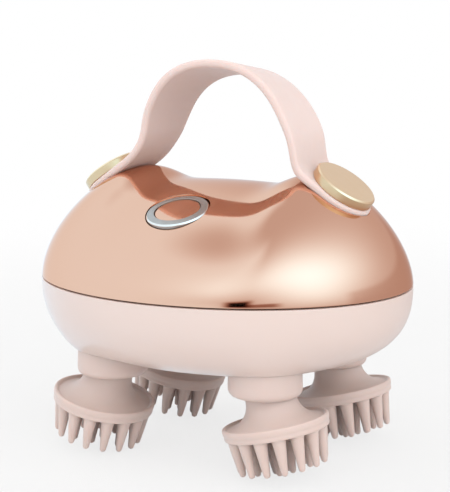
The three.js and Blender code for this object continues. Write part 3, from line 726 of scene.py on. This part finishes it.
def bristle(radius, length, angle):
    """One cone with a round tip, whose foot flares into the plate."""
    foot = BRISTLE_BASE_RADIUS
    tip = BRISTLE_TIP_RADIUS
    outline = [(0, 0.9), (foot + BRISTLE_FILLET, 0.9), (foot + BRISTLE_FILLET, 0.15)]
    outline += [(foot + 0.2, -0.1), (foot - 0.05, -BRISTLE_FILLET)]
    tip_steps = 6
    for k in range(tip_steps + 1):
        turn = math.pi / 2 * k / tip_steps
        outline.append((tip * math.cos(turn), tip - length - tip * math.sin(turn)))
    outline[-1] = (0, -length)
    place = Matrix.Rotation(angle, 4, "Z")
    place @= Matrix.Translation(Vector((radius, 0, PLATE_BOTTOM)) * MM)
    place @= Matrix.Rotation(BRISTLE_LEAN, 4, "Y")
    return lathe("bristle", outline, place, 24)


def brush_mesh():
    """One moulded silicone brush, its bristles blended into the plate, in the head's own frame."""
    parts = [head_plate()]
    for count, radius, length in BRISTLE_RINGS:
        parts += [bristle(radius, length, 2 * math.pi * k / count) for k in range(count)]
    work = bmesh.new()
    for part in parts:
        mesh = part.data
        mesh.transform(part.matrix_world)
        work.from_mesh(mesh)
        bpy.data.objects.remove(part)
    joined = bpy.data.meshes.new("brush")
    work.to_mesh(joined)
    work.free()
    brush = bpy.data.objects.new("brush", joined)
    bpy.context.scene.collection.objects.link(brush)
    remesh = brush.modifiers.new("blend", "REMESH")
    remesh.mode = "VOXEL"
    remesh.voxel_size = SILICONE_VOXEL * MM
    remesh.use_smooth_shade = True
    relax = brush.modifiers.new("relax", "SMOOTH")
    relax.factor = 0.5
    relax.iterations = 4
    bake_modifiers(brush)
    mesh = brush.data
    bpy.data.objects.remove(brush)
    return mesh


def brush_head(name, sx, sy, mesh, material):
    """One copy of the moulded brush, turned so that its first bristles are towards the middle."""
    head = bpy.data.objects.new(f"brush_{name}", mesh.copy())
    bpy.context.scene.collection.objects.link(head)
    towards_middle = 0.0 if sx < 0 else math.pi
    head.matrix_world = head_place(sx, sy) @ Matrix.Rotation(towards_middle, 4, "Z")
    settle(head, head.matrix_world.translation)
    return finish_piece(head, f"brush_{name}", f"brush_head_{name}", material)


# ---- materials ------------------------------------------------------------------------------

class Shader:
    """A node material around one Principled BSDF, with short ways to add procedural detail."""

    def __init__(self, name, color, roughness, metallic=0.0):
        self.material = bpy.data.materials.new(name)
        self.material.use_nodes = True
        self.tree = self.material.node_tree
        self.bsdf = self.tree.nodes["Principled BSDF"]
        self.color = color
        self.roughness = roughness
        self.place = self.tree.nodes.new("ShaderNodeTexCoord").outputs["Object"]
        self.set("Base Color", (*color, 1))
        self.set("Roughness", roughness)
        self.set("Metallic", metallic)
        self.height = None

    def set(self, socket, value):
        self.bsdf.inputs[socket].default_value = value

    def noise(self, scale, detail=4.0, stretch=None):
        """Noise with about scale cells to the metre."""
        node = self.tree.nodes.new("ShaderNodeTexNoise")
        node.inputs["Scale"].default_value = scale
        node.inputs["Detail"].default_value = detail
        place = self.place
        if stretch:
            mapping = self.tree.nodes.new("ShaderNodeMapping")
            mapping.inputs["Scale"].default_value = stretch
            self.tree.links.new(place, mapping.inputs["Vector"])
            place = mapping.outputs["Vector"]
        self.tree.links.new(place, node.inputs["Vector"])
        return node.outputs["Fac"]

    def turned_marks(self, scale):
        """Fine rings about the object's own Z axis, as a lathe leaves them."""
        node = self.tree.nodes.new("ShaderNodeTexWave")
        node.wave_type = "RINGS"
        node.rings_direction = "Z"
        node.inputs["Scale"].default_value = scale
        node.inputs["Distortion"].default_value = 1.5
        node.inputs["Detail"].default_value = 2.0
        self.tree.links.new(self.place, node.inputs["Vector"])
        return node.outputs["Fac"]

    def between(self, fac, low, high, start=0.3, end=0.7):
        """A number that goes from low to high as fac goes from start to end."""
        node = self.tree.nodes.new("ShaderNodeMapRange")
        for socket, value in (("From Min", start), ("From Max", end), ("To Min", low), ("To Max", high)):
            node.inputs[socket].default_value = value
        self.tree.links.new(fac, node.inputs["Value"])
        return node.outputs["Result"]

    def vary_color(self, fac, other, amount=1.0):
        """Mixes the base colour with another one where fac is high."""
        node = self.tree.nodes.new("ShaderNodeMix")
        node.data_type = "RGBA"
        node.inputs["A"].default_value = (*self.color, 1)
        node.inputs["B"].default_value = (*other, 1)
        self.tree.links.new(self.between(fac, 0.0, amount), node.inputs["Factor"])
        self.tree.links.new(node.outputs["Result"], self.bsdf.inputs["Base Color"])

    def vary_roughness(self, fac, spread):
        result = self.between(fac, self.roughness - spread, self.roughness + spread)
        self.tree.links.new(result, self.bsdf.inputs["Roughness"])

    def bump(self, fac, depth):
        """Raises the surface by depth, in millimetres, where fac is high. Calls add up."""
        node = self.tree.nodes.new("ShaderNodeBump")
        node.inputs["Distance"].default_value = depth * MM
        self.tree.links.new(fac, node.inputs["Height"])
        if self.height:
            self.tree.links.new(self.height, node.inputs["Normal"])
        self.height = node.outputs["Normal"]
        self.tree.links.new(self.height, self.bsdf.inputs["Normal"])


def rose_mirror():
    """Polished rose-gold plating, very slightly uneven in colour and gloss."""
    look = Shader("rose_mirror", (0.82, 0.445, 0.305), 0.07, 1.0)
    look.set("Specular Tint", (0.92, 0.76, 0.68, 1))
    look.vary_color(look.noise(18, 2), (0.81, 0.435, 0.295), 0.6)
    look.vary_roughness(look.noise(90, 5), 0.015)
    return look.material


def silicone(name, color, shade_color, roughness, grain):
    """Matte soft-touch rubber: a fine moulded grain, faint clouding and a little light inside."""
    look = Shader(name, color, roughness)
    look.set("Subsurface Weight", 0.25)
    look.set("Subsurface Radius", (1.0, 0.5, 0.35))
    look.set("Subsurface Scale", 1.6 * MM)
    look.set("Sheen Weight", 0.12)
    look.set("Sheen Roughness", 0.5)
    look.vary_color(look.noise(60, 3), shade_color, 0.7)
    look.vary_roughness(look.noise(400, 4), 0.06)
    look.bump(look.noise(2600, 3), grain)
    return look.material


def blush_shell():
    """Smooth satin plastic with a faint clear coat."""
    look = Shader("blush_shell", (0.575, 0.47, 0.43), 0.34)
    look.set("Subsurface Weight", 0.12)
    look.set("Subsurface Radius", (1.0, 0.6, 0.45))
    look.set("Subsurface Scale", 2 * MM)
    look.set("Coat Weight", 0.15)
    look.set("Coat Roughness", 0.25)
    look.vary_color(look.noise(25, 2), (0.555, 0.45, 0.41), 0.6)
    look.vary_roughness(look.noise(300, 4), 0.04)
    look.bump(look.noise(1800, 3), 0.004)
    return look.material


def turned_metal(name, color, shade_color, roughness, ring_depth):
    """Metal with fine turning rings about the object's own axis."""
    look = Shader(name, color, roughness, 1.0)
    look.vary_color(look.noise(120, 3), shade_color, 0.7)
    look.vary_roughness(look.noise(900, 4), 0.06)
    look.bump(look.turned_marks(1400), ring_depth)
    return look.material


def plain_metal(name, color, shade_color, roughness):
    """Machined metal with faint marks across its height."""
    look = Shader(name, color, roughness, 1.0)
    look.vary_color(look.noise(150, 3), shade_color)
    look.vary_roughness(look.noise(700, 4), 0.08)
    look.bump(look.noise(900, 2, (1, 1, 12)), 0.006)
    return look.material


def plain_plastic(name, color, shade_color, roughness):
    """Moulded plastic with a fine grain."""
    look = Shader(name, color, roughness)
    look.vary_color(look.noise(80, 3), shade_color)
    look.vary_roughness(look.noise(500, 3), 0.06)
    look.bump(look.noise(1500, 3), 0.01)
    return look.material


def hidden_materials():
    """Finishes of the pieces inside, by their material slot in the record."""
    return {
        "black_rubber": plain_plastic("black_rubber", (0.022, 0.013, 0.011), (0.034, 0.022, 0.018), 0.7),
        "steel": plain_metal("steel", (0.56, 0.57, 0.58), (0.48, 0.49, 0.50), 0.3),
        "brass": plain_metal("brass", (0.68, 0.48, 0.18), (0.58, 0.40, 0.14), 0.32),
        "acetal": plain_plastic("acetal", (0.80, 0.79, 0.74), (0.74, 0.73, 0.68), 0.45),
        "grey_plastic": plain_plastic("grey_plastic", (0.14, 0.15, 0.16), (0.11, 0.12, 0.13), 0.5),
        "circuit_board": plain_plastic("circuit_board", (0.02, 0.14, 0.06), (0.015, 0.10, 0.045), 0.4),
        "cell_wrap": plain_plastic("cell_wrap", (0.06, 0.18, 0.40), (0.05, 0.15, 0.34), 0.35),
    }


def dress_hidden_nodes(materials):
    """Gives every CAD node that stays its procedural material, by its slot in the record."""
    slots = {part["node"]: part["material_slot"] for part in frame["record"]["subparts"]}
    for name, node in frame["nodes"].items():
        material = materials.get(slots[name])
        if material:
            node.data.materials.clear()
            node.data.materials.append(material)


# ---- studio ---------------------------------------------------------------------------------

CAMERA_AZIMUTH = math.radians(29.84)
CAMERA_ELEVATION = math.radians(9.04)
CAMERA_DISTANCE = 443.0
CAMERA_TARGET = (-0.51, 1.42, 9.34)  # in the seam frame
FOCAL_LENGTH = 103.8
SENSOR_WIDTH = 36.0

FLOOR_RADIUS = 900.0
FLOOR_THICKNESS = 2.0


def direction(azimuth, elevation):
    """The unit vector towards an azimuth (0 is -Y, 90 is +X) and an elevation, in radians."""
    flat = math.cos(elevation)
    return Vector((math.sin(azimuth) * flat, -math.cos(azimuth) * flat, math.sin(elevation)))


def add_camera():
    """A camera at the photograph's viewing angle."""
    camera = bpy.data.objects.new("camera", bpy.data.cameras.new("camera"))
    camera.data.lens = FOCAL_LENGTH
    camera.data.sensor_width = SENSOR_WIDTH
    camera.data.clip_start = 0.01
    bpy.context.scene.collection.objects.link(camera)
    towards = direction(CAMERA_AZIMUTH, CAMERA_ELEVATION)
    target = Vector(CAMERA_TARGET) + Vector((0, 0, SEAM))
    camera.location = (target + towards * CAMERA_DISTANCE) * MM
    camera.rotation_euler = (-towards).to_track_quat("-Z", "Y").to_euler()
    bpy.context.scene.camera = camera


class Sky:
    """World shader whose brightness is worked out from the direction's azimuth and elevation."""

    def __init__(self, brightness):
        world = bpy.data.worlds.new("studio")
        world.use_nodes = True
        bpy.context.scene.world = world
        self.tree = world.node_tree
        place = self.tree.nodes.new("ShaderNodeTexCoord").outputs["Generated"]
        self.ray = self.tree.nodes.new("ShaderNodeSeparateXYZ")
        self.tree.links.new(place, self.ray.inputs["Vector"])
        self.elevation = self.compute("ARCSINE", self.ray.outputs["Z"])
        self.light = self.compute("ADD", brightness, 0.0)

    def compute(self, operation, *values):
        node = self.tree.nodes.new("ShaderNodeMath")
        node.operation = operation
        for socket, value in zip(node.inputs, values):
            if isinstance(value, (int, float)):
                socket.default_value = value
            else:
                self.tree.links.new(value, socket)
        return node.outputs["Value"]

    def ramp(self, value, start, end):
        """0 at start, 1 at end, and smooth between them."""
        node = self.tree.nodes.new("ShaderNodeMapRange")
        node.interpolation_type = "SMOOTHSTEP"
        node.inputs["From Min"].default_value = start
        node.inputs["From Max"].default_value = end
        self.tree.links.new(value, node.inputs["Value"])
        return node.outputs["Result"]

    def azimuth_from(self, middle):
        """The angle round the horizon between the ray and an azimuth in degrees."""
        towards = direction(math.radians(middle), 0)
        across = self.compute("MULTIPLY", self.ray.outputs["X"], towards.x)
        along = self.compute("MULTIPLY", self.ray.outputs["Y"], towards.y)
        level = self.compute("COSINE", self.elevation)
        level = self.compute("MAXIMUM", level, 1e-3)
        share = self.compute("DIVIDE", self.compute("ADD", across, along), level)
        share = self.compute("MAXIMUM", share, -1.0)
        share = self.compute("MINIMUM", share, 1.0)
        return self.compute("ARCCOSINE", share)

    def azimuth_window(self, middle, half_width, softness):
        """1 within half_width degrees of an azimuth, falling to 0 over the softness."""
        angle = self.azimuth_from(middle)
        return self.ramp(angle, math.radians(half_width + softness), math.radians(half_width))

    def elevation_window(self, low, high, softness):
        """1 between two elevations in degrees, falling to 0 over the softness."""
        rise = self.ramp(self.elevation, math.radians(low - softness), math.radians(low))
        fall = self.ramp(self.elevation, math.radians(high + softness), math.radians(high))
        return self.compute("MULTIPLY", rise, fall)

    def dim(self, window, factor):
        """Multiplies the light by factor where the window is 1."""
        taken = self.compute("MULTIPLY", window, 1.0 - factor)
        self.light = self.compute("MULTIPLY", self.light, self.compute("SUBTRACT", 1.0, taken))

    def brighten(self, window, amount):
        """Adds amount to the light where the window is 1."""
        self.light = self.compute("ADD", self.light, self.compute("MULTIPLY", window, amount))

    def card(self, azimuth, elevation, half_width, half_height, side_softness, end_softness):
        """A soft-edged rectangle round a direction, all in degrees."""
        across = self.azimuth_window(azimuth, half_width, side_softness)
        up = self.elevation_window(elevation - half_height, elevation + half_height, end_softness)
        return self.compute("MULTIPLY", across, up)

    def glow(self, azimuth, elevation, width, height):
        """A bell-shaped oval round a direction, all in degrees."""
        across = self.compute("DIVIDE", self.azimuth_from(azimuth), math.radians(width))
        above = self.compute("SUBTRACT", self.elevation, math.radians(elevation))
        above = self.compute("DIVIDE", above, math.radians(height))
        across = self.compute("POWER", across, 2)
        above = self.compute("MULTIPLY", above, above)
        reach = self.compute("ADD", across, above)
        return self.compute("EXPONENT", self.compute("MULTIPLY", reach, -1.0))

    def cooled(self, red_share, red_power, green_share, green_power):
        """The light as a colour whose bright parts are cooler than its dim ones."""
        color = self.tree.nodes.new("ShaderNodeCombineColor")
        red = self.compute("MULTIPLY", self.compute("POWER", self.light, red_power), red_share)
        green = self.compute("MULTIPLY", self.compute("POWER", self.light, green_power), green_share)
        self.tree.links.new(red, color.inputs["Red"])
        self.tree.links.new(green, color.inputs["Green"])
        self.tree.links.new(self.light, color.inputs["Blue"])
        return color.outputs["Color"]

    def background(self, light):
        node = self.tree.nodes.new("ShaderNodeBackground")
        if isinstance(light, float):
            node.inputs["Color"].default_value = (light, light, light, 1)
        else:
            self.tree.links.new(light, node.inputs["Color"])
        return node.outputs["Background"]

    def mixed(self, factor, low, high):
        node = self.tree.nodes.new("ShaderNodeMixShader")
        for socket, value in zip(node.inputs, (factor, low, high)):
            self.tree.links.new(value, socket)
        return node.outputs["Shader"]


def add_sky():
    """A white studio with soft cards: what a polished shell shows besides its neighbours."""
    sky = Sky(brightness=0.74)
    left_card = sky.card(-66, 10, half_width=68, half_height=47, side_softness=24, end_softness=20)
    right_card = sky.card(140, -2, half_width=42, half_height=9, side_softness=12, end_softness=6)
    dark_spot = sky.card(20, 4, half_width=4, half_height=4, side_softness=6, end_softness=6)
    spot_tail = sky.card(30, 0, half_width=9, half_height=2, side_softness=9, end_softness=3)
    sky.brighten(left_card, 0.72)
    sky.brighten(sky.glow(66, 34, width=54, height=22), 2.1)
    sky.brighten(sky.glow(66, 10, width=30, height=16), 0.7)
    sky.dim(right_card, 0.72)
    sky.dim(sky.glow(14, 12, width=26, height=14), 0.75)
    sky.dim(dark_spot, 0.0)
    sky.dim(spot_tail, 0.2)
    soft_light = sky.background(sky.light)
    cooled = sky.cooled(red_share=0.80, red_power=0.5, green_share=0.91, green_power=0.85)
    polish = sky.background(cooled)
    backdrop = sky.background(1.0)
    rays = sky.tree.nodes.new("ShaderNodeLightPath")
    seen = sky.mixed(rays.outputs["Is Glossy Ray"], soft_light, polish)
    seen = sky.mixed(rays.outputs["Is Camera Ray"], seen, backdrop)
    sky.tree.links.new(seen, sky.tree.nodes["World Output"].inputs["Surface"])


def add_overhead_light():
    """A large soft lamp that lights the matt surfaces but stays out of the reflections."""
    lamp = bpy.data.lights.new("overhead", "AREA")
    lamp.shape = "DISK"
    lamp.size = 0.9
    lamp.energy = 2.8
    made = bpy.data.objects.new("overhead", lamp)
    made.location = (0.25, -0.35, 0.95)
    made.rotation_euler = Vector(made.location).to_track_quat("Z", "Y").to_euler()
    made.visible_glossy = False
    bpy.context.scene.collection.objects.link(made)


def add_floor():
    """A pale round floor that fades out into the white backdrop."""
    floor = rod("floor", FLOOR_RADIUS, -FLOOR_THICKNESS, 0, Matrix.Identity(4), 128)
    material = bpy.data.materials.new("floor")
    material.use_nodes = True
    nodes = material.node_tree.nodes
    links = material.node_tree.links
    bsdf = nodes["Principled BSDF"]
    bsdf.inputs["Base Color"].default_value = (0.93, 0.92, 0.915, 1)
    bsdf.inputs["Roughness"].default_value = 0.6
    bsdf.inputs["Specular IOR Level"].default_value = 0.2
    place = nodes.new("ShaderNodeTexCoord").outputs["Object"]
    reach = nodes.new("ShaderNodeVectorMath")
    reach.operation = "LENGTH"
    fade = nodes.new("ShaderNodeMapRange")
    fade.interpolation_type = "SMOOTHSTEP"
    fade.inputs["From Min"].default_value = 0.12
    fade.inputs["From Max"].default_value = 0.55
    fade.inputs["To Min"].default_value = 0.88
    seen = nodes.new("ShaderNodeMath")
    seen.operation = "MULTIPLY"
    rays = nodes.new("ShaderNodeLightPath")
    clear = nodes.new("ShaderNodeBsdfTransparent")
    mix = nodes.new("ShaderNodeMixShader")
    links.new(place, reach.inputs[0])
    links.new(reach.outputs["Value"], fade.inputs["Value"])
    links.new(fade.outputs["Result"], seen.inputs[0])
    links.new(rays.outputs["Is Camera Ray"], seen.inputs[1])
    links.new(seen.outputs["Value"], mix.inputs["Fac"])
    links.new(bsdf.outputs["BSDF"], mix.inputs[1])
    links.new(clear.outputs["BSDF"], mix.inputs[2])
    links.new(mix.outputs["Shader"], nodes["Material Output"].inputs["Surface"])
    floor.data.materials.append(material)
    floor.visible_glossy = False


# ---- assembly -------------------------------------------------------------------------------

def build_object():
    """Every visible piece, each with its material, and the materials of the CAD nodes that stay."""
    mirror = rose_mirror()
    hub_silicone = silicone("blush_silicone", (0.56, 0.445, 0.405), (0.54, 0.425, 0.385), 0.55, 0.012)
    brush_silicone = silicone("brush_silicone", (0.53, 0.42, 0.38), (0.50, 0.39, 0.35), 0.55, 0.012)
    band_silicone = silicone("strap_silicone", (0.605, 0.48, 0.445), (0.585, 0.46, 0.425), 0.5, 0.01)
    champagne = turned_metal("champagne_metal", (0.97, 0.70, 0.455), (0.94, 0.665, 0.415), 0.34, 0.0012)
    # A darker copy of the knob's gold for its side wall: painted shade, not a second finish.
    gold_side_painted_shade = turned_metal("gold_side_painted_shade", (0.74, 0.50, 0.30), (0.71, 0.47, 0.27), 0.34, 0.0008)
    polished_edge = turned_metal("polished_edge", (0.86, 0.74, 0.66), (0.84, 0.72, 0.64), 0.2, 0.0006)
    satin = turned_metal("satin_ring", (0.50, 0.43, 0.385), (0.46, 0.395, 0.35), 0.4, 0.001)
    hidden = hidden_materials()

    upper_shell(mirror)
    lower_shell(blush_shell())
    strap(band_silicone)
    for name, side in SIDES:
        strap_knob(name, side, champagne, gold_side_painted_shade)
    button_bezel(satin, polished_edge)
    button_cap(mirror)
    charge_plug(hub_silicone)
    brush = brush_mesh()
    for name, sx, sy in CORNERS:
        spin_hub(name, sx, sy, hub_silicone)
        brush_core(name, sx, sy, hidden["grey_plastic"])
        brush_head(name, sx, sy, brush, brush_silicone)
    dress_hidden_nodes(hidden)


add_camera()
add_sky()
add_overhead_light()
add_floor()
build_object()
bpy.context.scene.view_settings.view_transform = "Standard"
